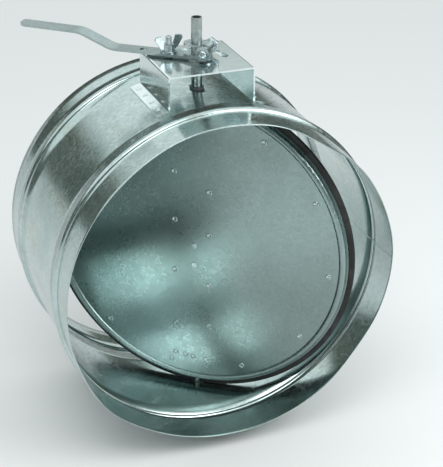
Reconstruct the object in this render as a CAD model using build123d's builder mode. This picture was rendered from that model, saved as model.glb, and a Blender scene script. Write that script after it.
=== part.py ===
from build123d import *
import math
import os

os.makedirs("parts", exist_ok=True)

# Volume control damper for a round duct.  Millimetres.
# Y runs along the duct, Z up the blade shaft, X across; origin where the two axes cross.

# casing
duct_outer_radius = 157.1
duct_sheet = 0.8
duct_half_length = 100.0
bead_position = 63.0
bead_half_width = 3.5
bead_height = 3.0
duct_inner_radius = duct_outer_radius - duct_sheet

# blade shaft
shaft_radius = 5.0
shaft_wall = 1.0
shaft_over_plate = 39.0
shaft_under_duct = 11.9
shaft_fit = 0.05
pivot_radius = 3.0
pivot_seat_length = 25.0
groove_depth = 0.3
groove_width = 1.0
groove_over_clamp = 1.0

# blade, set in a plane that stands upright and turned from the duct's cross-section
blade_angle = -41.0
gasket_clearance = 0.3
gasket_depth = 10.0
gasket_showing = 5.0
gasket_half_thickness = 2.0
skin_sheet = 0.8
skin_face = 7.2
skin_flange = 2.8
ring_tube = 3.2
ring_setback = 4.8
ring_rise = 2.2
channel_clearance = 0.1
gasket_outer_radius = duct_inner_radius - gasket_clearance
gasket_inner_radius = gasket_outer_radius - gasket_depth
skin_radius = gasket_outer_radius - gasket_showing
ring_radius = skin_radius - ring_setback
tube_gasket_clearance = 0.5
tube_setback = gasket_depth - gasket_showing + tube_gasket_clearance

# bushes in the casing wall
bush_wall = 0.9
bush_lip = 0.7
bush_outside_rise = 1.6
bush_neck_radius = shaft_radius + shaft_fit + bush_wall
bush_lip_radius = bush_neck_radius + bush_lip
bush_outer_end = duct_outer_radius + bush_outside_rise
pivot_neck_radius = pivot_radius + shaft_fit + bush_wall
pivot_lip_radius = pivot_neck_radius + bush_lip
gasket_end_clearance = 0.3

# stiffening straps round the shaft
strap_sheet = 0.8
strap_left = -27.0
strap_right = 22.0
upper_strap_length = 80.0
strap_rivet_gap = 5.5
lower_strap_rim_gap = 18.9

# rivets through both skins and the shaft
rivet_radius = 1.6
rivet_head_radius = 2.9
rivet_head_height = 0.8
rivet_heights = (-1.0, -21.5)
upper_strap_low = rivet_heights[0] + strap_rivet_gap
upper_strap_high = upper_strap_low + upper_strap_length
lower_strap_high = rivet_heights[1] - strap_rivet_gap
lower_strap_low = -skin_radius + lower_strap_rim_gap

# bracket
plate_over_duct = 27.9
plate_sheet = 1.5
plate_half_width = 41.0
plate_half_length = 40.0
foot_width = 10.5
bend_radius = 2.2
plate_top = duct_outer_radius + plate_over_duct

# bush in the bracket plate
plate_bush_wall = 1.35
plate_bush_flange_width = 2.6
plate_bush_flange_height = 1.4
plate_bush_collar_width = 1.2
plate_bush_collar_drop = 2.5
plate_bush_radius = shaft_radius + shaft_fit + plate_bush_wall
plate_bush_flange = plate_bush_radius + plate_bush_flange_width
plate_bush_collar_radius = plate_bush_radius + plate_bush_collar_width

# hand lever
lever_angle = 142.0
lever_sheet = 2.0
lever_gap = 0.3
lever_width = 16.0
lever_step_start = 80.0
lever_step_run = 31.0
lever_step_height = 13.0
lever_bend_radius = 26.0
lever_length = 171.0
lever_tip_rise = 1.5
lever_near_corner = 3.0
lever_far_corner = 8.0
lever_end = 15.0
lever_hole_position = 50.6
lever_hole_radius = 3.6
lever_bottom = plate_top + plate_bush_flange_height + lever_gap
lever_top_face = lever_bottom + lever_sheet
lever_step_end = lever_step_start + lever_step_run

# clamp bolt and the folded strap round it
strap_plate = 1.6
clamp_bolt_radius = 4.0
clamp_bolt_gap = 1.0
fold_clearance = 0.1
clamp_side_clearance = 0.2
clamp_near_width = lever_width / 2 + clamp_side_clearance
clamp_far_width = 9.5
clamp_leaf_end = 12.0
clamp_nut_flats = 13.0
clamp_nut_height = 5.6
clamp_nut_round = 1.06
clamp_head_height = 5.3
clamp_washer_radius = 7.6
clamp_washer_height = 0.8
clamp_bolt_showing = 1.5
clamp_tip_rounding = 1.8
clamp_bolt_position = -shaft_radius - clamp_bolt_radius - clamp_bolt_gap
fold_inner = clamp_bolt_radius + fold_clearance
fold_centre = lever_top_face + strap_plate + fold_inner
leaf_low = fold_centre + fold_inner
leaf_top = leaf_low + strap_plate
groove_position = leaf_top + groove_over_clamp

# locking bolt and wing nut
lock_position = 26.5
lock_bolt_radius = 3.0
lock_hole_clearance = 0.2
lock_neck = 6.0
lock_head_radius = 6.7
lock_head_height = 3.3
lock_head_rounding = 2.4
lock_head_gap = 0.3
lock_bolt_over_plate = 18.5
lock_tip_chamfer = 0.5
lock_washer_radius = 8.0
lock_washer_height = 1.4
lock_nut_gap = 0.1
lock_thread_clearance = 0.05
wing_boss_radius = 5.6
wing_boss_height = 6.0
wing_reach = 13.5
wing_height = 13.5
wing_thickness = 2.4
wing_angle = 45.0

# curved slot the locking bolt runs in
slot_radius = lock_position
slot_width = lock_neck + 1.0
slot_first = -4.0
slot_last = 150.0

# lower end of the shaft
lower_washer_radius = 7.5
lower_washer_height = 1.0
lower_washer_gap = 0.3
ring_outer_radius = 5.8
ring_height = 1.2
ring_opening = 3.6
ring_groove_depth = 0.5

shaft_top = plate_top + shaft_over_plate
shaft_bottom = -duct_outer_radius - shaft_under_duct
rivet_hole_radius = rivet_radius + 0.05
turn = math.radians(blade_angle)
blade_plane = Plane(
    origin=(0, 0, 0),
    x_dir=(math.cos(turn), math.sin(turn), 0),
    z_dir=(math.sin(turn), -math.cos(turn), 0),
)
swing = math.radians(lever_angle)
lever_along = (math.cos(swing), math.sin(swing), 0)
lever_across = (math.sin(swing), -math.cos(swing), 0)
lever_side = Plane(origin=(0, 0, 0), x_dir=lever_along, z_dir=lever_across)


def lever_top(height):
    return Plane(origin=(0, 0, height), x_dir=lever_along, z_dir=(0, 0, 1))


def level(height):
    return Plane.XY.offset(height)


# ---- casing ----

with BuildPart() as duct_shell:
    with BuildSketch(Plane.XY):
        with BuildLine():
            outer_low = (duct_outer_radius, -bead_position - bead_half_width)
            outer_mid = (duct_outer_radius + bead_height, -bead_position)
            outer_high = (duct_outer_radius, -bead_position + bead_half_width)
            inner_half = bead_half_width - duct_sheet
            inner_low = (duct_inner_radius, -bead_position - inner_half)
            inner_mid = (duct_inner_radius + bead_height, -bead_position)
            inner_high = (duct_inner_radius, -bead_position + inner_half)
            Line((duct_inner_radius, -duct_half_length), (duct_outer_radius, -duct_half_length))
            Line((duct_outer_radius, -duct_half_length), outer_low)
            ThreePointArc(outer_low, outer_mid, outer_high)
            Line(outer_high, (duct_outer_radius, 0))
            Line((duct_outer_radius, 0), (duct_inner_radius, 0))
            Line((duct_inner_radius, 0), inner_high)
            ThreePointArc(inner_high, inner_mid, inner_low)
            Line(inner_low, (duct_inner_radius, -duct_half_length))
        make_face()
    revolve(axis=Axis.Y)
    mirror(about=Plane.XZ)
    with BuildSketch(level(0)):
        Circle(bush_neck_radius)
    extrude(amount=duct_outer_radius + 5, mode=Mode.SUBTRACT)
    with BuildSketch(level(0)):
        Circle(pivot_neck_radius)
    extrude(amount=-duct_outer_radius - 5, mode=Mode.SUBTRACT)

duct_shell.part.label = "duct_shell"
export_step(duct_shell.part, "parts/duct_shell.step")


with BuildPart() as handle_bracket:
    foot_radius = duct_outer_radius + plate_sheet
    inner_width = plate_half_width - plate_sheet
    foot_start = math.asin(plate_half_width / foot_radius)
    foot_end = foot_start + foot_width / duct_outer_radius
    foot_middle = (foot_start + foot_end) / 2
    leg_outer = (plate_half_width, math.sqrt(foot_radius**2 - plate_half_width**2))
    leg_inner = (inner_width, math.sqrt(duct_outer_radius**2 - inner_width**2))
    foot_tip_top = (foot_radius * math.sin(foot_end), foot_radius * math.cos(foot_end))
    foot_mid_top = (foot_radius * math.sin(foot_middle), foot_radius * math.cos(foot_middle))
    foot_tip_low = (duct_outer_radius * math.sin(foot_end), duct_outer_radius * math.cos(foot_end))
    foot_mid_low = (duct_outer_radius * math.sin(foot_middle), duct_outer_radius * math.cos(foot_middle))
    with BuildSketch(Plane.XZ):
        with BuildLine():
            Line((0, plate_top), (plate_half_width, plate_top))
            Line((plate_half_width, plate_top), leg_outer)
            ThreePointArc(leg_outer, foot_mid_top, foot_tip_top)
            Line(foot_tip_top, foot_tip_low)
            ThreePointArc(foot_tip_low, foot_mid_low, leg_inner)
            Line(leg_inner, (inner_width, plate_top - plate_sheet))
            Line((inner_width, plate_top - plate_sheet), (0, plate_top - plate_sheet))
            Line((0, plate_top - plate_sheet), (0, plate_top))
        make_face()
        mirror(about=Plane.YZ)
    extrude(amount=plate_half_length, both=True)
    upright = handle_bracket.edges().filter_by(Axis.Y)
    corner_outer = [e for e in upright if abs(abs(e.center().X) - plate_half_width) < 0.1
                    and abs(e.center().Z - plate_top) < 0.1]
    corner_inner = [e for e in upright if abs(abs(e.center().X) - inner_width) < 0.1
                    and abs(e.center().Z - plate_top + plate_sheet) < 0.1]
    fillet(corner_outer, bend_radius)
    fillet(corner_inner, bend_radius - plate_sheet)
    with BuildSketch(level(plate_top)):
        Circle(plate_bush_radius)
        sweep = slot_last - slot_first
        with BuildSketch(Plane.XY, mode=Mode.PRIVATE) as arc_slot:
            with BuildLine():
                outer_edge = CenterArc((0, 0), slot_radius + slot_width / 2, slot_first, sweep)
                inner_edge = CenterArc((0, 0), slot_radius - slot_width / 2, slot_first, sweep)
                for place in (0, 1):
                    angle = math.radians(slot_first + sweep * place)
                    outward = -1 if place == 0 else 1
                    tip = Vector(
                        slot_radius * math.cos(angle) - outward * slot_width / 2 * math.sin(angle),
                        slot_radius * math.sin(angle) + outward * slot_width / 2 * math.cos(angle),
                    )
                    ThreePointArc(outer_edge @ place, tip, inner_edge @ place)
            make_face()
        add(arc_slot.sketch)
    extrude(amount=-plate_sheet - 1, mode=Mode.SUBTRACT)

handle_bracket.part.label = "handle_bracket"
export_step(handle_bracket.part, "parts/handle_bracket.step")


with BuildPart() as plate_bush:
    with BuildSketch(level(plate_top - plate_sheet)):
        Circle(plate_bush_radius)
    extrude(amount=plate_sheet + plate_bush_flange_height)
    with BuildSketch(level(plate_top)):
        Circle(plate_bush_flange)
    extrude(amount=plate_bush_flange_height)
    with BuildSketch(level(plate_top - plate_sheet)):
        Circle(plate_bush_collar_radius)
    extrude(amount=-plate_bush_collar_drop)
    with BuildSketch(level(plate_top - plate_sheet - plate_bush_collar_drop)):
        Circle(shaft_radius + shaft_fit)
    extrude(amount=20, mode=Mode.SUBTRACT)

plate_bush.part.label = "plate_bush"
export_step(plate_bush.part, "parts/plate_bush.step")


with BuildPart() as upper_bush:
    with BuildSketch(level(0)):
        Circle(bush_lip_radius)
    extrude(amount=bush_outer_end)
    with BuildSketch(Plane.XZ):
        Circle(duct_outer_radius)
    extrude(amount=2 * bush_lip_radius, both=True, mode=Mode.SUBTRACT)
    with BuildSketch(level(0)):
        Circle(bush_neck_radius)
    extrude(amount=bush_outer_end)
    with BuildSketch(Plane.XZ):
        Circle(duct_inner_radius)
    extrude(amount=2 * bush_lip_radius, both=True, mode=Mode.SUBTRACT)
    with BuildSketch(level(0)):
        Circle(shaft_radius + shaft_fit)
    extrude(amount=bush_outer_end, mode=Mode.SUBTRACT)

upper_bush.part.label = "upper_bush"
export_step(upper_bush.part, "parts/upper_bush.step")


with BuildPart() as lower_bush:
    with BuildSketch(level(0)):
        Circle(pivot_lip_radius)
    extrude(amount=-bush_outer_end)
    with BuildSketch(Plane.XZ):
        Circle(duct_outer_radius)
    extrude(amount=2 * bush_lip_radius, both=True, mode=Mode.SUBTRACT)
    with BuildSketch(level(0)):
        Circle(pivot_neck_radius)
    extrude(amount=-bush_outer_end)
    with BuildSketch(Plane.XZ):
        Circle(duct_inner_radius)
    extrude(amount=2 * bush_lip_radius, both=True, mode=Mode.SUBTRACT)
    with BuildSketch(level(0)):
        Circle(pivot_radius + shaft_fit)
    extrude(amount=-bush_outer_end, mode=Mode.SUBTRACT)

lower_bush.part.label = "lower_bush"
export_step(lower_bush.part, "parts/lower_bush.step")


# ---- blade and shaft ----

lower_washer_top = -bush_outer_end - lower_washer_gap
ring_top = lower_washer_top - lower_washer_height
tube_bottom = -skin_radius + tube_setback

with BuildPart() as shaft:
    with BuildSketch(level(tube_bottom)):
        Circle(shaft_radius)
        Circle(shaft_radius - shaft_wall, mode=Mode.SUBTRACT)
    extrude(amount=shaft_top - tube_bottom)
    with BuildSketch(level(groove_position)):
        Circle(shaft_radius + 1)
        Circle(shaft_radius - groove_depth, mode=Mode.SUBTRACT)
    extrude(amount=groove_width, mode=Mode.SUBTRACT)
    with BuildSketch(blade_plane):
        with Locations([(0, height) for height in rivet_heights]):
            Circle(rivet_hole_radius)
    extrude(amount=shaft_radius + 1, both=True, mode=Mode.SUBTRACT)

shaft.part.label = "shaft"
export_step(shaft.part, "parts/shaft.step")


# pin pressed into the foot of the shaft tube
with BuildPart() as lower_pivot:
    with BuildSketch(level(tube_bottom)):
        Circle(shaft_radius - shaft_wall)
    extrude(amount=pivot_seat_length)
    with BuildSketch(level(tube_bottom)):
        Circle(pivot_radius)
    extrude(amount=shaft_bottom - tube_bottom)
    with BuildSketch(level(ring_top)):
        Circle(pivot_radius + 1)
        Circle(pivot_radius - ring_groove_depth, mode=Mode.SUBTRACT)
    extrude(amount=-ring_height, mode=Mode.SUBTRACT)

lower_pivot.part.label = "lower_pivot"
export_step(lower_pivot.part, "parts/lower_pivot.step")


# the dished skin in section: flat face, raised rounded rim ring, thin flange at the rubber
with BuildPart() as front_skin:
    rise = Plane(origin=(0, 0, 0), x_dir=blade_plane.x_dir, z_dir=-blade_plane.y_dir)
    ring_low = ring_radius - ring_tube
    ring_high = ring_radius + ring_tube
    face_back = skin_face - skin_sheet
    with BuildSketch(rise):
        with BuildLine():
            Line((0, face_back), (0, skin_face))
            Line((0, skin_face), (ring_low, skin_face))
            ThreePointArc((ring_low, skin_face), (ring_radius, skin_face + ring_rise), (ring_high, skin_face))
            Line((ring_high, skin_face), (ring_high, skin_flange))
            Line((ring_high, skin_flange), (skin_radius, skin_flange))
            Line((skin_radius, skin_flange), (skin_radius, skin_flange - skin_sheet))
            Line((skin_radius, skin_flange - skin_sheet), (ring_high - skin_sheet, skin_flange - skin_sheet))
            Line((ring_high - skin_sheet, skin_flange - skin_sheet), (ring_high - skin_sheet, face_back))
            ThreePointArc(
                (ring_high - skin_sheet, face_back),
                (ring_radius, skin_face + ring_rise - skin_sheet),
                (ring_low + skin_sheet, face_back),
            )
            Line((ring_low + skin_sheet, face_back), (0, face_back))
        make_face()
    revolve(axis=Axis((0, 0, 0), blade_plane.z_dir))
    # small arches over the shaft and the pivot in the flange
    arch_start = ring_high - skin_sheet
    for way, radius in ((1, shaft_radius), (-1, pivot_radius)):
        with BuildSketch(level(way * arch_start)):
            Circle(radius + channel_clearance + skin_sheet)
        extrude(amount=way * (skin_radius - arch_start))
    with BuildSketch(blade_plane):
        Circle(skin_radius)
    extrude(amount=30, mode=Mode.INTERSECT)
    with BuildSketch(blade_plane):
        Rectangle(4 * skin_radius, 4 * skin_radius)
    extrude(amount=skin_flange - skin_sheet, mode=Mode.SUBTRACT)
    with BuildSketch(level(tube_bottom - channel_clearance)):
        Circle(shaft_radius + channel_clearance)
    extrude(amount=2 * skin_radius, mode=Mode.SUBTRACT)
    with BuildSketch(level(tube_bottom)):
        Circle(pivot_radius + channel_clearance)
    extrude(amount=-2 * tube_setback, mode=Mode.SUBTRACT)
    with BuildSketch(blade_plane):
        with Locations([(0, height) for height in rivet_heights]):
            Circle(rivet_hole_radius)
    extrude(amount=skin_face + 5, mode=Mode.SUBTRACT)

front_skin.part.label = "blade_front_skin"
export_step(front_skin.part, "parts/blade_front_skin.step")


with BuildPart() as back_skin:
    add(front_skin.part.mirror(Plane(origin=(0, 0, 0), x_dir=blade_plane.x_dir, z_dir=blade_plane.z_dir)))

back_skin.part.label = "blade_back_skin"
export_step(back_skin.part, "parts/blade_back_skin.step")


with BuildPart() as gasket_right:
    with BuildSketch(blade_plane):
        Circle(gasket_outer_radius)
        Circle(gasket_inner_radius, mode=Mode.SUBTRACT)
        for way, radius in ((1, shaft_radius), (-1, pivot_radius)):
            shift = radius + gasket_end_clearance - gasket_outer_radius
            with Locations((shift, way * gasket_outer_radius)):
                Rectangle(2 * gasket_outer_radius, 2 * gasket_outer_radius, mode=Mode.SUBTRACT)
    extrude(amount=gasket_half_thickness, both=True)

gasket_right.part.label = "gasket_right"
export_step(gasket_right.part, "parts/gasket_right.step")


with BuildPart() as gasket_left:
    mirror_plane = Plane(origin=(0, 0, 0), x_dir=blade_plane.z_dir, z_dir=blade_plane.x_dir)
    add(gasket_right.part.mirror(mirror_plane))

gasket_left.part.label = "gasket_left"
export_step(gasket_left.part, "parts/gasket_left.step")


def strap_section():
    inner = shaft_radius + 0.05
    outer = inner + strap_sheet
    Circle(outer)
    with Locations((0, face_back / 2)):
        Rectangle(2 * outer, face_back)
    with Locations(((strap_left + strap_right) / 2, face_back - strap_sheet / 2)):
        Rectangle(strap_right - strap_left, strap_sheet)
    Circle(inner, mode=Mode.SUBTRACT)
    with Locations((0, face_back)):
        Rectangle(2 * inner, 2 * face_back, mode=Mode.SUBTRACT)


def strap_plane(height):
    return Plane(origin=(0, 0, height), x_dir=blade_plane.x_dir, z_dir=-blade_plane.y_dir)


with BuildPart() as upper_strap:
    with BuildSketch(strap_plane(upper_strap_low)):
        strap_section()
    extrude(amount=upper_strap_low - upper_strap_high)

upper_strap.part.label = "upper_strap"
export_step(upper_strap.part, "parts/upper_strap.step")


with BuildPart() as lower_strap:
    with BuildSketch(strap_plane(lower_strap_low)):
        strap_section()
    extrude(amount=lower_strap_low - lower_strap_high)

lower_strap.part.label = "lower_strap"
export_step(lower_strap.part, "parts/lower_strap.step")


with BuildPart() as shaft_rivets:
    with BuildSketch(blade_plane):
        with Locations([(0, height) for height in rivet_heights]):
            Circle(rivet_radius)
    extrude(amount=skin_face, both=True)
    for side in (1, -1):
        with BuildSketch(blade_plane.offset(side * skin_face)):
            with Locations([(0, height) for height in rivet_heights]):
                Circle(rivet_head_radius)
        extrude(amount=side * rivet_head_height, taper=20)

shaft_rivets.part.label = "shaft_rivets"
export_step(shaft_rivets.part, "parts/shaft_rivets.step")


with BuildPart() as lower_washer:
    with BuildSketch(level(lower_washer_top)):
        Circle(lower_washer_radius)
        Circle(pivot_radius + shaft_fit, mode=Mode.SUBTRACT)
    extrude(amount=-lower_washer_height)

lower_washer.part.label = "lower_washer"
export_step(lower_washer.part, "parts/lower_washer.step")


with BuildPart() as retaining_ring:
    with BuildSketch(level(ring_top)):
        Circle(ring_outer_radius)
        Circle(pivot_radius - ring_groove_depth, mode=Mode.SUBTRACT)
        with Locations((ring_outer_radius, 0)):
            Rectangle(2 * ring_outer_radius, ring_opening, mode=Mode.SUBTRACT)
    extrude(amount=-ring_height)

retaining_ring.part.label = "retaining_ring"
export_step(retaining_ring.part, "parts/retaining_ring.step")


# ---- hand lever and clamp ----

def knee(before, here, after, gap):
    first = (Vector(*here) - Vector(*before)).normalized()
    second = (Vector(*after) - Vector(*here)).normalized()
    middle = (first + second).normalized()
    across = Vector(-middle.Y, middle.X)
    return Vector(*here) + across * (gap / (first.X * middle.X + first.Y * middle.Y))


with BuildPart() as hand_lever:
    path = [
        (-lever_end - 1, lever_bottom),
        (lever_step_start, lever_bottom),
        (lever_step_end, lever_bottom + lever_step_height),
        (lever_length, lever_bottom + lever_step_height + lever_tip_rise),
    ]
    upper = [
        Vector(-lever_end - 1, lever_top_face),
        knee(path[0], path[1], path[2], lever_sheet),
        knee(path[1], path[2], path[3], lever_sheet),
        Vector(lever_length, path[3][1] + lever_sheet),
    ]
    # bent strip seen from the side
    with BuildSketch(lever_side):
        with BuildLine():
            Polyline(*path, *reversed(upper), close=True)
        make_face()
    extrude(amount=lever_width, both=True)
    low_bend = lever_step_start - lever_sheet
    high_bend = lever_step_end + lever_sheet
    bends = [e for e in hand_lever.edges() if abs(e.tangent_at(0).dot(Vector(*lever_across))) > 0.99
             and low_bend < e.center().dot(Vector(*lever_along)) < high_bend]
    fillet(bends, lever_bend_radius)
    # outline seen from above
    with BuildSketch(lever_top(lever_bottom - 1)):
        half = lever_width / 2
        with BuildLine():
            Line((lever_length - lever_far_corner, half), (half - lever_end, half))
            ThreePointArc((half - lever_end, half), (-lever_end, 0), (half - lever_end, -half))
            Line((half - lever_end, -half), (lever_length - lever_near_corner, -half))
            RadiusArc(
                (lever_length - lever_near_corner, -half),
                (lever_length, lever_near_corner - half),
                -lever_near_corner,
            )
            Line((lever_length, lever_near_corner - half), (lever_length, half - lever_far_corner))
            RadiusArc(
                (lever_length, half - lever_far_corner),
                (lever_length - lever_far_corner, half),
                -lever_far_corner,
            )
        make_face()
    extrude(amount=3 * lever_step_height, mode=Mode.INTERSECT)
    with BuildSketch(level(lever_bottom - 1)):
        Circle(shaft_radius + shaft_fit)
    extrude(amount=lever_sheet + 2, mode=Mode.SUBTRACT)
    with BuildSketch(lever_top(lever_bottom - 1)):
        with Locations((lock_position, 0)):
            Circle(lock_bolt_radius + lock_hole_clearance)
        with Locations((lever_hole_position, 0)):
            Circle(lever_hole_radius)
    extrude(amount=lever_sheet + 2, mode=Mode.SUBTRACT)

hand_lever.part.label = "hand_lever"
export_step(hand_lever.part, "parts/hand_lever.step")


def clamp_plane(distance):
    return Plane(
        origin=Vector(*lever_along) * clamp_bolt_position
        + Vector(0, 0, fold_centre)
        + Vector(*lever_across) * distance,
        x_dir=lever_along,
        z_dir=lever_across,
    )


# strap folded in a U round the clamp bolt, both leaves threaded on the shaft
with BuildPart() as clamp_strap:
    with BuildSketch(lever_side):
        with Locations((clamp_bolt_position, fold_centre)):
            Circle(fold_inner + strap_plate)
        middle = (clamp_bolt_position + clamp_leaf_end) / 2
        with Locations((middle, fold_centre)):
            Rectangle(clamp_leaf_end - clamp_bolt_position, 2 * (fold_inner + strap_plate))
        with Locations((clamp_bolt_position, fold_centre)):
            Circle(fold_inner, mode=Mode.SUBTRACT)
        with Locations((middle, fold_centre)):
            Rectangle(clamp_leaf_end - clamp_bolt_position, 2 * fold_inner, mode=Mode.SUBTRACT)
    extrude(amount=clamp_far_width)
    extrude(strap_face := clamp_strap.faces().sort_by(Axis((0, 0, 0), lever_across))[0],
            amount=clamp_near_width)
    with BuildSketch(lever_top(lever_top_face - 1)):
        reach = clamp_bolt_position - fold_inner - strap_plate - 1
        with BuildLine():
            Line((clamp_leaf_end - clamp_near_width, clamp_near_width), (reach, clamp_near_width))
            Line((reach, clamp_near_width), (reach, -clamp_far_width))
            Line((reach, -clamp_far_width), (clamp_leaf_end - clamp_far_width, -clamp_far_width))
            RadiusArc(
                (clamp_leaf_end - clamp_far_width, -clamp_far_width),
                (clamp_leaf_end, 0),
                -clamp_far_width,
            )
            RadiusArc(
                (clamp_leaf_end, 0),
                (clamp_leaf_end - clamp_near_width, clamp_near_width),
                -clamp_near_width,
            )
        make_face()
    extrude(amount=leaf_top - lever_top_face + 2, mode=Mode.INTERSECT)
    with BuildSketch(level(lever_top_face - 1)):
        Circle(shaft_radius + shaft_fit)
    extrude(amount=leaf_top - lever_top_face + 2, mode=Mode.SUBTRACT)

clamp_strap.part.label = "clamp_strap"
export_step(clamp_strap.part, "parts/clamp_strap.step")

washer_start = -clamp_near_width
nut_start = washer_start - clamp_washer_height
head_start = clamp_far_width
bolt_tip = nut_start - clamp_nut_height - clamp_bolt_showing
thread_fit = 0.02

with BuildPart() as clamp_bolt:
    with BuildSketch(clamp_plane(bolt_tip)):
        Circle(clamp_bolt_radius)
    extrude(amount=head_start - bolt_tip)
    tip_edge = clamp_bolt.edges().sort_by(Axis((0, 0, 0), lever_across))[0]
    fillet(tip_edge, clamp_tip_rounding)
    with BuildSketch(clamp_plane(head_start)):
        RegularPolygon(clamp_nut_flats / 2, 6, major_radius=False)
    extrude(amount=clamp_head_height)

clamp_bolt.part.label = "clamp_bolt"
export_step(clamp_bolt.part, "parts/clamp_bolt.step")


with BuildPart() as clamp_washer:
    with BuildSketch(clamp_plane(washer_start)):
        Circle(clamp_washer_radius)
        Circle(clamp_bolt_radius + fold_clearance, mode=Mode.SUBTRACT)
    extrude(amount=-clamp_washer_height)

clamp_washer.part.label = "clamp_washer"
export_step(clamp_washer.part, "parts/clamp_washer.step")


with BuildPart() as clamp_nut:
    with BuildSketch(clamp_plane(nut_start)):
        RegularPolygon(clamp_nut_flats / 2, 6, major_radius=False)
        Circle(clamp_nut_flats / 2 * clamp_nut_round, mode=Mode.INTERSECT)
        Circle(clamp_bolt_radius + thread_fit, mode=Mode.SUBTRACT)
    extrude(amount=-clamp_nut_height)

clamp_nut.part.label = "clamp_nut"
export_step(clamp_nut.part, "parts/clamp_nut.step")


# ---- locking bolt and wing nut ----

lock_head_top = plate_top - plate_sheet - lock_head_gap
neck_top = plate_top - 0.2
lock_bolt_top = plate_top + lock_bolt_over_plate
washer_low = lever_top_face
nut_low = washer_low + lock_washer_height + lock_nut_gap


def lock_plane(height):
    return Plane(
        origin=Vector(*lever_along) * lock_position + Vector(0, 0, height),
        x_dir=lever_along,
        z_dir=(0, 0, 1),
    )


with BuildPart() as lock_bolt:
    with BuildSketch(lock_plane(lock_head_top)):
        Circle(lock_head_radius)
    extrude(amount=-lock_head_height)
    dome_edge = lock_bolt.edges().sort_by(Axis.Z)[0]
    fillet(dome_edge, lock_head_rounding)
    with BuildSketch(lock_plane(lock_head_top)):
        Rectangle(lock_neck, lock_neck)
    extrude(amount=neck_top - lock_head_top)
    with BuildSketch(lock_plane(lock_head_top)):
        Circle(lock_bolt_radius)
    extrude(amount=lock_bolt_top - lock_head_top)
    top_edge = lock_bolt.edges().sort_by(Axis.Z)[-1]
    chamfer(top_edge, lock_tip_chamfer)

lock_bolt.part.label = "lock_bolt"
export_step(lock_bolt.part, "parts/lock_bolt.step")


with BuildPart() as lock_washer:
    with BuildSketch(lock_plane(washer_low)):
        Circle(lock_washer_radius)
        Circle(lock_bolt_radius + lock_hole_clearance, mode=Mode.SUBTRACT)
    extrude(amount=lock_washer_height)

lock_washer.part.label = "lock_washer"
export_step(lock_washer.part, "parts/lock_washer.step")


# the wings stand across the lever, leaning outwards
wing_direction = math.radians(lever_angle + wing_angle)
wing_along = (math.cos(wing_direction), math.sin(wing_direction), 0)
wing_normal = (math.sin(wing_direction), -math.cos(wing_direction), 0)
lock_centre = Vector(*lever_along) * lock_position

with BuildPart() as wing_nut:
    with BuildSketch(lock_plane(nut_low)):
        Circle(wing_boss_radius)
    extrude(amount=wing_boss_height, taper=6)
    wing_side = Plane(origin=lock_centre + Vector(0, 0, nut_low), x_dir=wing_along, z_dir=wing_normal)
    with BuildSketch(wing_side):
        for way in (1, -1):
            with BuildLine():
                Polyline(
                    (way * 1.5, 0.6),
                    (way * 5.4, 0.6),
                    (way * 9.0, 3.2),
                    (way * wing_reach, wing_height - 3.0),
                    (way * (wing_reach - 0.4), wing_height - 0.8),
                    (way * (wing_reach - 2.4), wing_height),
                    (way * (wing_reach - 6.2), wing_height),
                    (way * 4.6, wing_boss_height),
                    (way * 1.5, wing_boss_height),
                    close=True,
                )
            make_face()
    extrude(amount=wing_thickness / 2, both=True)
    with BuildSketch(lock_plane(nut_low)):
        Circle(lock_bolt_radius + lock_thread_clearance)
    extrude(amount=wing_height + 1, mode=Mode.SUBTRACT)

wing_nut.part.label = "wing_nut"
export_step(wing_nut.part, "parts/wing_nut.step")
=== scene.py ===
import math

import bmesh
import bpy
from mathutils import Matrix, Vector, noise


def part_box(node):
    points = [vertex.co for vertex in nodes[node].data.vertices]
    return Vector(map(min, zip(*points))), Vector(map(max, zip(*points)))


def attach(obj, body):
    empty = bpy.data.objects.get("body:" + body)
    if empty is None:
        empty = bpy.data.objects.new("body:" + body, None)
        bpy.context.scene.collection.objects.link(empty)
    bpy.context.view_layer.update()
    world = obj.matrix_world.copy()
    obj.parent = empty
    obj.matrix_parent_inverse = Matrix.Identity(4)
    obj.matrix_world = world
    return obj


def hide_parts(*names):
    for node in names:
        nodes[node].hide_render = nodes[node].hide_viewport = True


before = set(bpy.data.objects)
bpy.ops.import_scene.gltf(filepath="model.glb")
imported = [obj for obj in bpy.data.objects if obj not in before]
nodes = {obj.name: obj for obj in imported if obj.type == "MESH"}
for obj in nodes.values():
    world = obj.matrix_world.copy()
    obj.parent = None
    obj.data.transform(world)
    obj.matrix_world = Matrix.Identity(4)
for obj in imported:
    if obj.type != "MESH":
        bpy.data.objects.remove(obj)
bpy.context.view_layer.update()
print("frame loaded:", len(nodes), "nodes")

# directions shared by several pieces, degrees in the XY plane
layout = {
    "bladeTurn": -41.0,
    "leverTurn": 142.0,
    "lockDistance": 0.0265,
    "clampDistance": -0.010,
    "clampHeight": 0.1944,
}
bladeEdge = Vector((math.cos(math.radians(layout["bladeTurn"])), math.sin(math.radians(layout["bladeTurn"])), 0))
bladeFront = Vector((bladeEdge.y, -bladeEdge.x, 0))
leverAlong = Vector((math.cos(math.radians(layout["leverTurn"])), math.sin(math.radians(layout["leverTurn"])), 0))
leverAcross = Vector((leverAlong.y, -leverAlong.x, 0))
upward = Vector((0, 0, 1))


casingShape = {
    "radius": 0.1571, "sheet": 0.0008, "halfLength": 0.100,
    "beadAt": 0.063, "beadHalf": 0.0035, "beadHeight": 0.003,
    "steps": 480, "unevenness": 0.0002,
    # knocks in the thin near collar: where round the rim in degrees, how far in metres, how wide in degrees
    "knocks": ((57, -0.0046, 14), (-36, -0.0030, 13), (4, 0.0020, 14), (-140, 0.0028, 13), (108, 0.0018, 16)),
    "edge": 0.0002,                     # broken edge at each end
    "farStations": (0.078, 0.09),
    "nearFrom": 0.070, "nearStep": 0.004, "nearCount": 8,   # closer rings where the collar is knocked
    "middle": 0.058, "middleCount": 8,
    "holes": ((0.00595, 0.14, 0.17), (0.00395, -0.17, -0.14)),   # radius, lower and upper end of the cut
}


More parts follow.
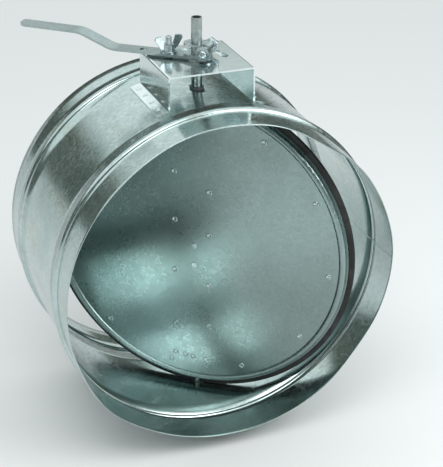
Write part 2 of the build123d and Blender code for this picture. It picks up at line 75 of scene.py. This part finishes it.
def newFinish(name):
    finish = bpy.data.materials.new(name)
    finish.use_nodes = True
    tree = finish.node_tree
    tree.nodes.clear()
    output = tree.nodes.new("ShaderNodeOutputMaterial")
    shader = tree.nodes.new("ShaderNodeBsdfPrincipled")
    tree.links.new(shader.outputs[0], output.inputs[0])
    return finish, tree, shader


def ownPlace(tree, stretch=(1, 1, 1)):
    place = tree.nodes.new("ShaderNodeTexCoord")
    mapping = tree.nodes.new("ShaderNodeMapping")
    mapping.inputs["Scale"].default_value = stretch
    tree.links.new(place.outputs["Object"], mapping.inputs["Vector"])
    return mapping.outputs["Vector"]


def noiseField(tree, vector, scale, detail=3, rough=0.5):
    field = tree.nodes.new("ShaderNodeTexNoise")
    field.inputs["Scale"].default_value = scale
    field.inputs["Detail"].default_value = detail
    field.inputs["Roughness"].default_value = rough
    tree.links.new(vector, field.inputs["Vector"])
    return field.outputs["Fac"]


def remap(tree, value, low, high, toLow, toHigh):
    span = tree.nodes.new("ShaderNodeMapRange")
    for socket, number in (("From Min", low), ("From Max", high), ("To Min", toLow), ("To Max", toHigh)):
        span.inputs[socket].default_value = number
    tree.links.new(value, span.inputs["Value"])
    return span.outputs["Result"]


def arithmetic(tree, kind, first, second):
    node = tree.nodes.new("ShaderNodeMath")
    node.operation = kind
    for socket, value in zip(node.inputs, (first, second)):
        if isinstance(value, (int, float)):
            socket.default_value = value
        else:
            tree.links.new(value, socket)
    return node.outputs[0]


def blendColour(tree, factor, first, second):
    mix = tree.nodes.new("ShaderNodeMix")
    mix.data_type = "RGBA"
    if isinstance(factor, (int, float)):
        mix.inputs[0].default_value = factor
    else:
        tree.links.new(factor, mix.inputs[0])
    for socket, value in ((mix.inputs[6], first), (mix.inputs[7], second)):
        if isinstance(value, tuple):
            socket.default_value = (*value, 1)
        else:
            tree.links.new(value, socket)
    return mix.outputs[2]


def bump(tree, height, strength, distance, under=None):
    node = tree.nodes.new("ShaderNodeBump")
    node.inputs["Strength"].default_value = strength
    node.inputs["Distance"].default_value = distance
    tree.links.new(height, node.inputs["Height"])
    if under is not None:
        tree.links.new(under, node.inputs["Normal"])
    return node.outputs["Normal"]


zincSheet = {
    "light": (0.62, 0.73, 0.73),
    "dark": (0.48, 0.58, 0.57),
    "spangleScale": 420,                # zinc crystals about two millimetres across
    "spangleAmount": 0.6,
    "rough": (0.10, 0.24),
    "waveHeight": 0.0006,               # unevenness of thin sheet
    "waveScale": 6,
    "grainHeight": 0.00002,
    "cloudScale": 14,
    "stains": (
        {"colour": (0.30, 0.43, 0.41), "scale": 15, "from": 0.46, "to": 0.64, "amount": 0.4,
         "stretch": (1.3, 0.8, 1)},
        {"colour": (0.36, 0.36, 0.24), "scale": 24, "from": 0.52, "to": 0.72, "amount": 0.3,
         "stretch": (1, 0.5, 1.4)},
    ),
}


def shadeOf(tree, tone, colour, spread=0.14):
    # a colour with the crystals' light and dark still in it
    low = tuple(c * (1 - spread) for c in colour)
    high = tuple(c * (1 + spread) for c in colour)
    return blendColour(tree, tone, low, high)


def zincFinish(name, settings):
    finish, tree, shader = newFinish(name)
    place = ownPlace(tree)
    crystals = tree.nodes.new("ShaderNodeTexVoronoi")
    crystals.inputs["Scale"].default_value = settings["spangleScale"]
    wobble = tree.nodes.new("ShaderNodeTexNoise")
    wobble.inputs["Scale"].default_value = settings["spangleScale"] * 1.7
    tree.links.new(place, wobble.inputs["Vector"])
    shifted = tree.nodes.new("ShaderNodeVectorMath")
    shifted.operation = "MULTIPLY_ADD"
    tree.links.new(wobble.outputs["Color"], shifted.inputs[0])
    shifted.inputs[1].default_value = (0.003, 0.003, 0.003)
    tree.links.new(place, shifted.inputs[2])
    tree.links.new(shifted.outputs[0], crystals.inputs["Vector"])
    split = tree.nodes.new("ShaderNodeSeparateColor")
    tree.links.new(crystals.outputs["Color"], split.inputs[0])
    fine = noiseField(tree, place, 1100, 2)
    cell = arithmetic(tree, "MULTIPLY", split.outputs[0], settings["spangleAmount"])
    tone = arithmetic(tree, "ADD", cell, arithmetic(tree, "MULTIPLY", fine, 1 - settings["spangleAmount"]))
    base = blendColour(tree, tone, settings["dark"], settings["light"])
    cloud = remap(tree, noiseField(tree, place, settings["cloudScale"], 3), 0.35, 0.7, 0.86, 1.0)
    rough = remap(tree, split.outputs[1], 0, 1, *settings["rough"])
    for stain in settings["stains"]:     # passivation stains: soft-edged, spread over the whole sheet
        spread = noiseField(tree, ownPlace(tree, stain["stretch"]), stain["scale"], 2)
        share = remap(tree, spread, stain["from"], stain["to"], 0, stain["amount"])
        base = blendColour(tree, share, base, shadeOf(tree, tone, stain["colour"]))
    base = blendColour(tree, cloud, (0, 0, 0), base)
    tree.links.new(base, shader.inputs["Base Color"])
    smear = remap(tree, noiseField(tree, place, 30, 3), 0.35, 0.75, 0, 0.05)
    tree.links.new(arithmetic(tree, "ADD", rough, smear), shader.inputs["Roughness"])
    broad = bump(tree, noiseField(tree, place, settings["waveScale"], 2), 0.35, settings["waveHeight"])
    grain = bump(tree, tone, 0.5, settings["grainHeight"], broad)
    tree.links.new(grain, shader.inputs["Normal"])
    shader.inputs["Metallic"].default_value = 1.0
    return finish


brightZinc = {"light": (0.62, 0.70, 0.72), "dark": (0.36, 0.44, 0.46), "rough": (0.18, 0.38)}


def platedFinish(name, settings, scale=260):
    finish, tree, shader = newFinish(name)
    place = ownPlace(tree)
    cloud = noiseField(tree, place, scale, 4)
    base = blendColour(tree, remap(tree, cloud, 0.3, 0.7, 0, 1), settings["dark"], settings["light"])
    tree.links.new(base, shader.inputs["Base Color"])
    wear = noiseField(tree, place, scale * 3, 3)
    tree.links.new(remap(tree, wear, 0.3, 0.7, *settings["rough"]), shader.inputs["Roughness"])
    tree.links.new(bump(tree, wear, 0.3, 0.00003), shader.inputs["Normal"])
    shader.inputs["Metallic"].default_value = 1.0
    return finish


rubberLook = {"dark": (0.012, 0.013, 0.013), "dusty": (0.045, 0.047, 0.046), "rough": (0.45, 0.75)}


def rubberFinish(name, settings):
    finish, tree, shader = newFinish(name)
    place = ownPlace(tree)
    dust = noiseField(tree, place, 60, 4)
    tree.links.new(blendColour(tree, remap(tree, dust, 0.45, 0.8, 0, 1), settings["dark"], settings["dusty"]),
                   shader.inputs["Base Color"])
    fine = noiseField(tree, place, 700, 3)
    tree.links.new(remap(tree, fine, 0.3, 0.7, *settings["rough"]), shader.inputs["Roughness"])
    tree.links.new(bump(tree, fine, 0.4, 0.00006), shader.inputs["Normal"])
    return finish


# the finishes: sheet parts differ in how bright and how smooth their zinc is, and the blade's darker zinc is painted
# shade
casingZinc = zincFinish("casingZinc", zincSheet)
plateZinc = zincFinish("plateZinc", {**zincSheet, "light": (0.84, 0.92, 0.93), "dark": (0.74, 0.83, 0.83),
                                     "stains": (), "rough": (0.08, 0.18), "waveHeight": 0.0001, "waveScale": 12})
# painted shade: the blade's zinc is a darker copy of the sheet zinc, standing in for the shade and dark reflections
# inside the duct; its lighter clouds are random stains
bladeZincPaintedShade = zincFinish("bladeZincPaintedShade", {**zincSheet, "light": (0.30, 0.38, 0.37), "dark": (0.23, 0.30, 0.29),
                                     "rough": (0.24, 0.34), "spangleAmount": 0.3,
                                     "stains": ({"colour": (0.36, 0.48, 0.475), "scale": 9, "from": 0.40, "to": 0.62,
                                                 "amount": 0.6, "stretch": (1, 1, 0.7)},)})
spotZinc = platedFinish("spotZinc", {"light": (0.62, 0.74, 0.74), "dark": (0.36, 0.44, 0.43),
                                     "rough": (0.18, 0.32)}, 600)
leverZinc = zincFinish("leverZinc", {**zincSheet, "light": (0.50, 0.59, 0.59), "dark": (0.41, 0.49, 0.49),
                                     "stains": (), "rough": (0.24, 0.36), "waveHeight": 0.0001})
boltZinc = platedFinish("boltZinc", brightZinc)
shaftSteel = platedFinish("shaftSteel", {"light": (0.50, 0.56, 0.55), "dark": (0.28, 0.33, 0.32),
                                         "rough": (0.22, 0.42)})
gasketRubber = rubberFinish("gasketRubber", rubberLook)
bushPlastic = rubberFinish("bushPlastic", {"dark": (0.20, 0.23, 0.22), "dusty": (0.33, 0.36, 0.35),
                                           "rough": (0.35, 0.5)})
print("finishes made")


def wear(piece, finish):
    piece.data.materials.clear()
    piece.data.materials.append(finish)


finishOf = {
    "duct_shell": casingZinc, "handle_bracket": plateZinc, "plate_bush": bushPlastic,
    "upper_bush": bushPlastic, "lower_bush": bushPlastic, "shaft": shaftSteel, "lower_pivot": shaftSteel,
    "clamp_strap": boltZinc, "blade_front_skin": bladeZincPaintedShade, "blade_back_skin": bladeZincPaintedShade,
    "gasket_left": gasketRubber, "gasket_right": gasketRubber,
    "upper_strap": casingZinc, "lower_strap": casingZinc, "shaft_rivets": boltZinc,
    "lower_washer": boltZinc, "retaining_ring": shaftSteel, "hand_lever": leverZinc,
    "clamp_bolt": boltZinc, "clamp_washer": boltZinc, "clamp_nut": boltZinc,
    "lock_bolt": boltZinc, "lock_washer": boltZinc, "wing_nut": boltZinc,
}
for name, finish in finishOf.items():
    wear(nodes[name], finish)


def soften(name, width, segments=3):
    bevel = nodes[name].modifiers.new("softEdge", "BEVEL")
    bevel.width = width
    bevel.segments = segments
    bevel.limit_method = "ANGLE"
    bevel.angle_limit = math.radians(35)


def pieceFromLists(name, points, faces, finish, body, smooth=True):
    mesh = bpy.data.meshes.new(name)
    mesh.from_pydata([tuple(p) for p in points], [], faces)
    mesh.validate()
    sheet = bmesh.new()
    sheet.from_mesh(mesh)
    bmesh.ops.recalc_face_normals(sheet, faces=sheet.faces)
    sheet.to_mesh(mesh)
    sheet.free()
    for face in mesh.polygons:
        face.use_smooth = smooth
    piece = bpy.data.objects.new(name, mesh)
    bpy.context.scene.collection.objects.link(piece)
    wear(piece, finish)
    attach(piece, body)
    return piece


def casingProfile(shape):
    outer = []
    inner = []

    def bead(entries, at, half, radius, sign):
        for i in range(13):
            angle = math.pi * i / 12
            entries.append((radius + shape["beadHeight"] * math.sin(angle), at - sign * half * math.cos(angle)))

    radius = shape["radius"]
    back = radius - shape["sheet"]
    length = shape["halfLength"]
    edge = shape["edge"]
    near = [shape["nearFrom"] + shape["nearStep"] * i for i in range(shape["nearCount"])]
    middle = [shape["middle"] * (1 - 2 * i / shape["middleCount"]) for i in range(1, shape["middleCount"])]
    outer.append((radius - edge, -length))
    outer.append((radius, -length + edge))
    for y in reversed(near):
        outer.append((radius, -y))
    bead(outer, -shape["beadAt"], shape["beadHalf"], radius, 1)
    for y in middle:
        outer.append((radius, -y))
    bead(outer, shape["beadAt"], shape["beadHalf"], radius, 1)
    for y in (*shape["farStations"], length - edge):
        outer.append((radius, y))
    outer.append((radius - edge, length))
    inner.append((back + edge, length))
    for y in (length - edge, *reversed(shape["farStations"])):
        inner.append((back, y))
    bead(inner, shape["beadAt"], shape["beadHalf"] - shape["sheet"], back, -1)
    for y in middle:
        inner.append((back, y))
    bead(inner, -shape["beadAt"], shape["beadHalf"] - shape["sheet"], back, -1)
    for y in near:
        inner.append((back, -y))
    inner.append((back, -length + edge))
    inner.append((back + edge, -length))
    return outer + inner


def rimKnock(shape, angle, y):
    start = shape["beadAt"] + 0.004
    if -y < start:
        return 0
    share = ((-y - start) / (shape["halfLength"] - start)) ** 1.3
    total = 0
    for at, depth, width in shape["knocks"]:
        away = (math.degrees(angle) - at + 180) % 360 - 180
        total += depth * math.exp(-(away / width) ** 2)
    return total * share


def wallWave(shape, angle, y):
    spot = Vector((math.cos(angle), math.sin(angle), y * 6)) * 2.1
    return noise.noise(spot) * shape["unevenness"] * (0.4 + min(1, abs(y) / 0.1))


def makeCasing(shape):
    profile = casingProfile(shape)
    steps = shape["steps"]
    points = []
    for i in range(steps):
        angle = 2 * math.pi * i / steps
        for radius, y in profile:
            wave = wallWave(shape, angle, y)
            reach = radius + wave + rimKnock(shape, angle, y)
            points.append((reach * math.cos(angle), y, reach * math.sin(angle)))
    count = len(profile)
    faces = []
    for i in range(steps):
        after = (i + 1) % steps
        for j in range(count):
            following = (j + 1) % count
            faces.append((i * count + j, i * count + following, after * count + following, after * count + j))
    return pieceFromLists("casing", points, faces, casingZinc, "casing")


casing = makeCasing(casingShape)
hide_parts("duct_shell")


def cutHole(piece, radius, low, high):
    cutter = bmesh.new()
    bmesh.ops.create_cone(cutter, cap_ends=True, segments=48, radius1=radius, radius2=radius, depth=high - low)
    bmesh.ops.translate(cutter, verts=cutter.verts, vec=(0, 0, (low + high) / 2))
    mesh = bpy.data.meshes.new("drill")
    cutter.to_mesh(mesh)
    cutter.free()
    drill = bpy.data.objects.new("drill", mesh)
    bpy.context.scene.collection.objects.link(drill)
    hole = piece.modifiers.new("hole", "BOOLEAN")
    hole.operation = "DIFFERENCE"
    hole.solver = "EXACT"
    hole.object = drill
    bpy.context.view_layer.update()
    bored = bpy.data.meshes.new_from_object(piece.evaluated_get(bpy.context.evaluated_depsgraph_get()))
    piece.modifiers.clear()
    piece.data = bored
    bpy.data.objects.remove(drill)


for radius, low, high in casingShape["holes"]:     # for the two bushes
    cutHole(casing, radius, low, high)
print("casing made")

seamLook = {"angle": 1.0, "width": 0.0016, "height": 0.00022, "steps": 160}


def weldSeam(name, shape, seam, radius, side):
    # a thin raised line along the casing wall that follows the beads
    points = []
    faces = []
    profile = ((-0.5, 0), (-0.25, 0.8), (0, 1), (0.25, 0.8), (0.5, 0))
    for i in range(seam["steps"] + 1):
        y = -shape["halfLength"] + 0.0008 + (2 * shape["halfLength"] - 0.0016) * i / seam["steps"]
        rise = 0
        for bead in (-shape["beadAt"], shape["beadAt"]):
            half = shape["beadHalf"] - (shape["sheet"] if side < 0 else 0)
            if abs(y - bead) < half:
                rise = shape["beadHeight"] * math.sin(math.acos(abs(y - bead) / half))
        ripple = 1 + 0.35 * noise.noise((y * 900, 0, side))
        for across, up in profile:
            angle = math.radians(seam["angle"]) + across * seam["width"] * ripple / radius
            wave = wallWave(shape, angle, y)
            reach = radius + rise + wave + rimKnock(shape, angle, y) + side * (up * seam["height"] - 0.00002)
            points.append((reach * math.cos(angle), y, reach * math.sin(angle)))
    count = len(profile)
    for i in range(seam["steps"]):
        for j in range(count - 1):
            faces.append((i * count + j, i * count + j + 1, (i + 1) * count + j + 1, (i + 1) * count + j))
        faces.append((i * count, (i + 1) * count, (i + 1) * count + count - 1, i * count + count - 1))
    faces.append(tuple(range(count)))
    faces.append(tuple(seam["steps"] * count + j for j in reversed(range(count))))
    return pieceFromLists(name, points, faces, casingZinc, "casing")


weldSeam("seamOutside", casingShape, seamLook, casingShape["radius"], 1)
weldSeam("seamInside", casingShape, seamLook, casingShape["radius"] - casingShape["sheet"], -1)

spotLook = {
    "radius": 0.0025, "ridge": 0.0007, "steps": 28,
    "faceAt": 0.0072, "rimRadius": 0.134, "rimFirst": 59.5, "rimStep": -32.0, "rimCount": 11,
    # places on the blade face: across and up, in millimetres from its centre
    "face": ((-20, 74), (-20, 24), (-20, -30), (-20, -90), (15, 57), (15, 12), (15, -42), (15, -87),
             (-20, -123), (-9.5, -124), (-1.5, -125), (12, -126)),
}


def ringMark(points, faces, centre, along, across, outward, radius, ridge, steps):
    # a pressed ring with a flat middle, as an electrode leaves
    start = len(points)
    profile = ((1.25, -0.1), (1.08, 0.55), (0.92, 1.0), (0.72, 0.75), (0.52, 0.15), (0.3, 0.05))
    for i in range(steps):
        angle = 2 * math.pi * i / steps
        away = along * math.cos(angle) + across * math.sin(angle)
        for reach, rise in profile:
            points.append(centre + away * radius * reach + outward * ridge * rise)
    points.append(centre + outward * ridge * 0.05)
    points.append(centre - outward * ridge * 0.1)
    count = len(profile)
    for i in range(steps):
        after = (i + 1) % steps
        for j in range(count - 1):
            faces.append((start + i * count + j, start + i * count + j + 1, start + after * count + j + 1,
                          start + after * count + j))
        faces.append((start + i * count + count - 1, start + steps * count, start + after * count + count - 1))
        faces.append((start + i * count, start + after * count, start + steps * count + 1))


def bladeSpots(name, look, outward):
    points = []
    faces = []
    places = [(x / 1000, z / 1000) for x, z in look["face"]]
    for i in range(look["rimCount"]):
        angle = math.radians(look["rimFirst"] + look["rimStep"] * i)
        places.append((look["rimRadius"] * math.cos(angle), look["rimRadius"] * math.sin(angle)))
    for x, z in places:
        centre = bladeEdge * x + upward * z + outward * look["faceAt"]
        ringMark(points, faces, centre, bladeEdge, upward, outward, look["radius"], look["ridge"], look["steps"])
    return pieceFromLists(name, points, faces, spotZinc, "blade")


bladeSpots("frontSpotWelds", spotLook, bladeFront)
bladeSpots("backSpotWelds", spotLook, -bladeFront)

footWelds = {"radius": 0.0019, "ridge": 0.00025, "steps": 24, "angleOut": 16.9, "footTop": 0.15862,
             "places": (-0.027, -0.009, 0.010, 0.028)}


def bracketSpots(look):
    points = []
    faces = []
    for way in (1, -1):
        tilt = math.radians(look["angleOut"])
        outward = Vector((way * math.sin(tilt), 0, math.cos(tilt)))
        across = Vector((way * math.cos(tilt), 0, -math.sin(tilt)))
        for y in look["places"]:
            centre = outward * look["footTop"] + Vector((0, y, 0))
            ringMark(points, faces, centre, across, Vector((0, 1, 0)), outward, look["radius"], look["ridge"],
                     look["steps"])
    return pieceFromLists("footSpotWelds", points, faces, plateZinc, "casing")


bracketSpots(footWelds)
print("seam and spot welds made")


def threadedBolt(name, node, settings, origin, axis, across, body):
    # shank with a wound thread on its end, a plain stretch and a head, as one closed surface of revolution
    side = axis.cross(across)
    points = []
    faces = []
    rings = settings["stations"]     # along the axis, radius, threaded or not, half width across flats
    steps = settings["steps"]
    for along, radius, thread, flats in rings:
        for i in range(steps):
            angle = 2 * math.pi * i / steps
            reach = radius
            if thread:
                turnShare = (along / settings["pitch"] - i / steps) % 1
                reach -= settings["depth"] * abs(2 * turnShare - 1)
            if flats:
                part = (math.degrees(angle) + 30) % 60 - 30
                reach = min(radius, flats / math.cos(math.radians(part)))
            points.append(origin + axis * along + (across * math.cos(angle) + side * math.sin(angle)) * reach)
    for k in range(len(rings) - 1):
        for i in range(steps):
            after = (i + 1) % steps
            faces.append((k * steps + i, k * steps + after, (k + 1) * steps + after, (k + 1) * steps + i))
    faces.append(tuple(range(steps)))
    faces.append(tuple((len(rings) - 1) * steps + i for i in reversed(range(steps))))
    piece = pieceFromLists(name, points, faces, boltZinc, body)
    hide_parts(node)
    return piece


def threadStations(start, end, radius, pitch, samples=10):
    count = max(2, int(round(abs(end - start) / pitch * samples)))
    return [(start + (end - start) * i / count, radius, True, 0) for i in range(count + 1)]


def roundedHead(low, radius, flat, height, steps=8):
    # from the crown's middle out to the rim
    bend = radius - flat
    profile = [(low, flat * 0.5, False, 0)]
    for i in range(steps + 1):
        angle = math.pi / 2 * i / steps
        profile.append((low + bend * (1 - math.cos(angle)), flat + bend * math.sin(angle), False, 0))
    profile.append((low + height, radius, False, 0))
    return profile


lockBolt = {"pitch": 0.001, "depth": 0.00055, "steps": 48, "radius": 0.0030, "head": 0.0067, "crown": 0.0043,
            "headHeight": 0.0033, "neck": 0.0030, "neckHeight": 0.0016}


def makeLockBolt(settings):
    low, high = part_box("lock_bolt")[0].z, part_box("lock_bolt")[1].z
    top = low + settings["headHeight"]
    stations = roundedHead(low, settings["head"], settings["crown"], settings["headHeight"])
    stations += [(top, settings["radius"], False, 0), (top + 0.0052, settings["radius"], False, 0)]
    stations += threadStations(top + 0.0056, high - 0.0007, settings["radius"], settings["pitch"])
    stations += [(high - 0.0004, 0.0025, False, 0), (high, 0.0020, False, 0)]
    place = leverAlong * layout["lockDistance"]
    return threadedBolt("lockBolt", "lock_bolt", {**settings, "stations": stations}, place, upward, leverAlong,
                        "lock_bolt")


def makeSquareNeck(settings):
    # the square under the head that keeps the bolt from turning in the slot
    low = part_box("lock_bolt")[0].z + settings["headHeight"]
    points = []
    for height in (low, low + settings["neckHeight"]):
        for along, across in ((-1, -1), (1, -1), (1, 1), (-1, 1)):
            out = leverAlong * (layout["lockDistance"] + along * settings["neck"])
            points.append(out + leverAcross * (across * settings["neck"]) + upward * height)
    faces = [(3, 2, 1, 0), (4, 5, 6, 7), (0, 1, 5, 4), (1, 2, 6, 5), (2, 3, 7, 6), (3, 0, 4, 7)]
    return pieceFromLists("lockBoltNeck", points, faces, boltZinc, "lock_bolt", smooth=False)


makeLockBolt(lockBolt)
makeSquareNeck(lockBolt)

clampBolt = {"pitch": 0.00125, "depth": 0.00068, "steps": 60, "radius": 0.0040, "flats": 0.0065, "corner": 0.0075,
             "headHeight": 0.0053, "headAt": 0.0095, "tipAt": -0.0161}


def makeClampBolt(settings):
    # measured along the bolt from the shaft, the head end is positive
    head, tip = settings["headAt"], settings["tipAt"]
    stations = [(tip, 0.0014, False, 0), (tip + 0.0001, 0.0020, False, 0), (tip + 0.0005, 0.0029, False, 0),
                (tip + 0.0011, 0.0034, False, 0)]
    stations += threadStations(tip + 0.0014, tip + 0.0085, settings["radius"], settings["pitch"])
    stations += [(tip + 0.0090, settings["radius"], False, 0), (head, settings["radius"], False, 0),
                 (head, 0.0060, False, 0), (head + 0.0003, 0.0064, False, 0), (head + 0.0003, 0.0062, False, 0),
                 (head + 0.0003, settings["corner"], False, settings["flats"]),
                 (head + settings["headHeight"] - 0.0006, settings["corner"], False, settings["flats"]),
                 (head + settings["headHeight"], 0.0062, False, 0), (head + settings["headHeight"], 0.0030, False, 0)]
    place = leverAlong * layout["clampDistance"] + upward * layout["clampHeight"]
    return threadedBolt("clampBolt", "clamp_bolt", {**settings, "stations": stations}, place, leverAcross, leverAlong,
                        "blade")


makeClampBolt(clampBolt)
print("bolts threaded")

for name, width in (("handle_bracket", 0.0003), ("hand_lever", 0.0005), ("wing_nut", 0.0006), ("clamp_nut", 0.0004),
                    ("clamp_strap", 0.0003), ("shaft", 0.0002), ("gasket_left", 0.0012),
                    ("gasket_right", 0.0012), ("lock_washer", 0.0003), ("clamp_washer", 0.0003)):
    soften(name, width)

stageLook = {
    "floorAt": -0.172, "floorReach": 12, "floorColour": (0.77, 0.77, 0.77),
    "ceiling": 1.1, "walls": 0.15, "ceilingFrom": 0.37, "ceilingFull": 0.46, "tilt": 0.1,
    "wallColour": (0.80, 0.95, 0.84), "ceilingColour": (0.94, 1.0, 1.0),
}

floorMesh = bpy.data.meshes.new("floor")
floorReach = stageLook["floorReach"]
floorCorners = [(x * floorReach, y * floorReach, 0) for x, y in ((-1, -1), (1, -1), (1, 1), (-1, 1))]
floorMesh.from_pydata(floorCorners, [], [(0, 1, 2, 3)])
floor = bpy.data.objects.new("floor", floorMesh)
floor.location = (0, 0, stageLook["floorAt"])
bpy.context.scene.collection.objects.link(floor)
floorFinish, floorNodes, floorShader = newFinish("floorPaper")
floorShader.inputs["Base Color"].default_value = (*stageLook["floorColour"], 1)
floorShader.inputs["Roughness"].default_value = 0.9
wear(floor, floorFinish)

world = bpy.data.worlds.new("studio")
bpy.context.scene.world = world
world.use_nodes = True
sky = world.node_tree
sky.nodes.clear()
skyOut = sky.nodes.new("ShaderNodeOutputWorld")
skyLight = sky.nodes.new("ShaderNodeBackground")
skyPlace = sky.nodes.new("ShaderNodeTexCoord")
skySplit = sky.nodes.new("ShaderNodeSeparateXYZ")
sky.links.new(skyPlace.outputs["Generated"], skySplit.inputs[0])
lean = arithmetic(sky, "MULTIPLY", skySplit.outputs["Y"], stageLook["tilt"])     # the ceiling comes lower at the back
height = arithmetic(sky, "ADD", skySplit.outputs["Z"], lean)
level = remap(sky, height, stageLook["ceilingFrom"], stageLook["ceilingFull"], 0, 1)
tint = blendColour(sky, level, stageLook["wallColour"], stageLook["ceilingColour"])
sky.links.new(tint, skyLight.inputs[0])
sky.links.new(remap(sky, level, 0, 1, stageLook["walls"], stageLook["ceiling"]), skyLight.inputs[1])
sky.links.new(skyLight.outputs[0], skyOut.inputs[0])


def softBox(name, place, target, size, power):
    lamp = bpy.data.lights.new(name, "AREA")
    lamp.shape = "RECTANGLE"
    lamp.size, lamp.size_y = size
    lamp.energy = power
    holder = bpy.data.objects.new(name, lamp)
    holder.location = place
    holder.rotation_mode = "QUATERNION"
    holder.rotation_quaternion = (Vector(target) - Vector(place)).to_track_quat("-Z", "Y")
    bpy.context.scene.collection.objects.link(holder)
    return holder


softBoxes = {     # where it stands, where it points, its size and its power
    "rightBox": ((0.66, -0.74, 0.66), (-0.10, 0, -0.05), (0.85, 0.65), 5.6),
    "topBox": ((-0.35, -0.57, 0.99), (-0.05, -0.04, -0.15), (0.65, 0.5), 3.4),
}
for name, settings in softBoxes.items():
    softBox(name, *settings)

cameraSet = {"azimuth": -21.232, "elevation": 26.324, "roll": 0.316, "distance": 1.356,
             "aim": (0.0237, -0.0035, 0.0062), "lens": 108.6}


def placeCamera(settings):
    azimuth, elevation, roll = (math.radians(settings[k]) for k in ("azimuth", "elevation", "roll"))
    back = Vector((math.sin(azimuth) * math.cos(elevation), -math.cos(azimuth) * math.cos(elevation),
                   math.sin(elevation)))
    right = Vector((math.cos(azimuth), math.sin(azimuth), 0))
    up = back.cross(right)
    rolledRight = right * math.cos(roll) + up * math.sin(roll)
    rolledUp = up * math.cos(roll) - right * math.sin(roll)
    lens = bpy.data.cameras.new("camera")
    lens.lens = settings["lens"]
    lens.sensor_width = 36
    lens.clip_start = 0.05
    lens.clip_end = 60
    holder = bpy.data.objects.new("camera", lens)
    turnTable = Matrix((rolledRight, rolledUp, back)).transposed().to_4x4()
    turnTable.translation = Vector(settings["aim"]) + back * settings["distance"]
    holder.matrix_world = turnTable
    bpy.context.scene.collection.objects.link(holder)
    bpy.context.scene.camera = holder


placeCamera(cameraSet)
bpy.context.scene.view_settings.view_transform = "Standard"
print("stage, light and camera set")
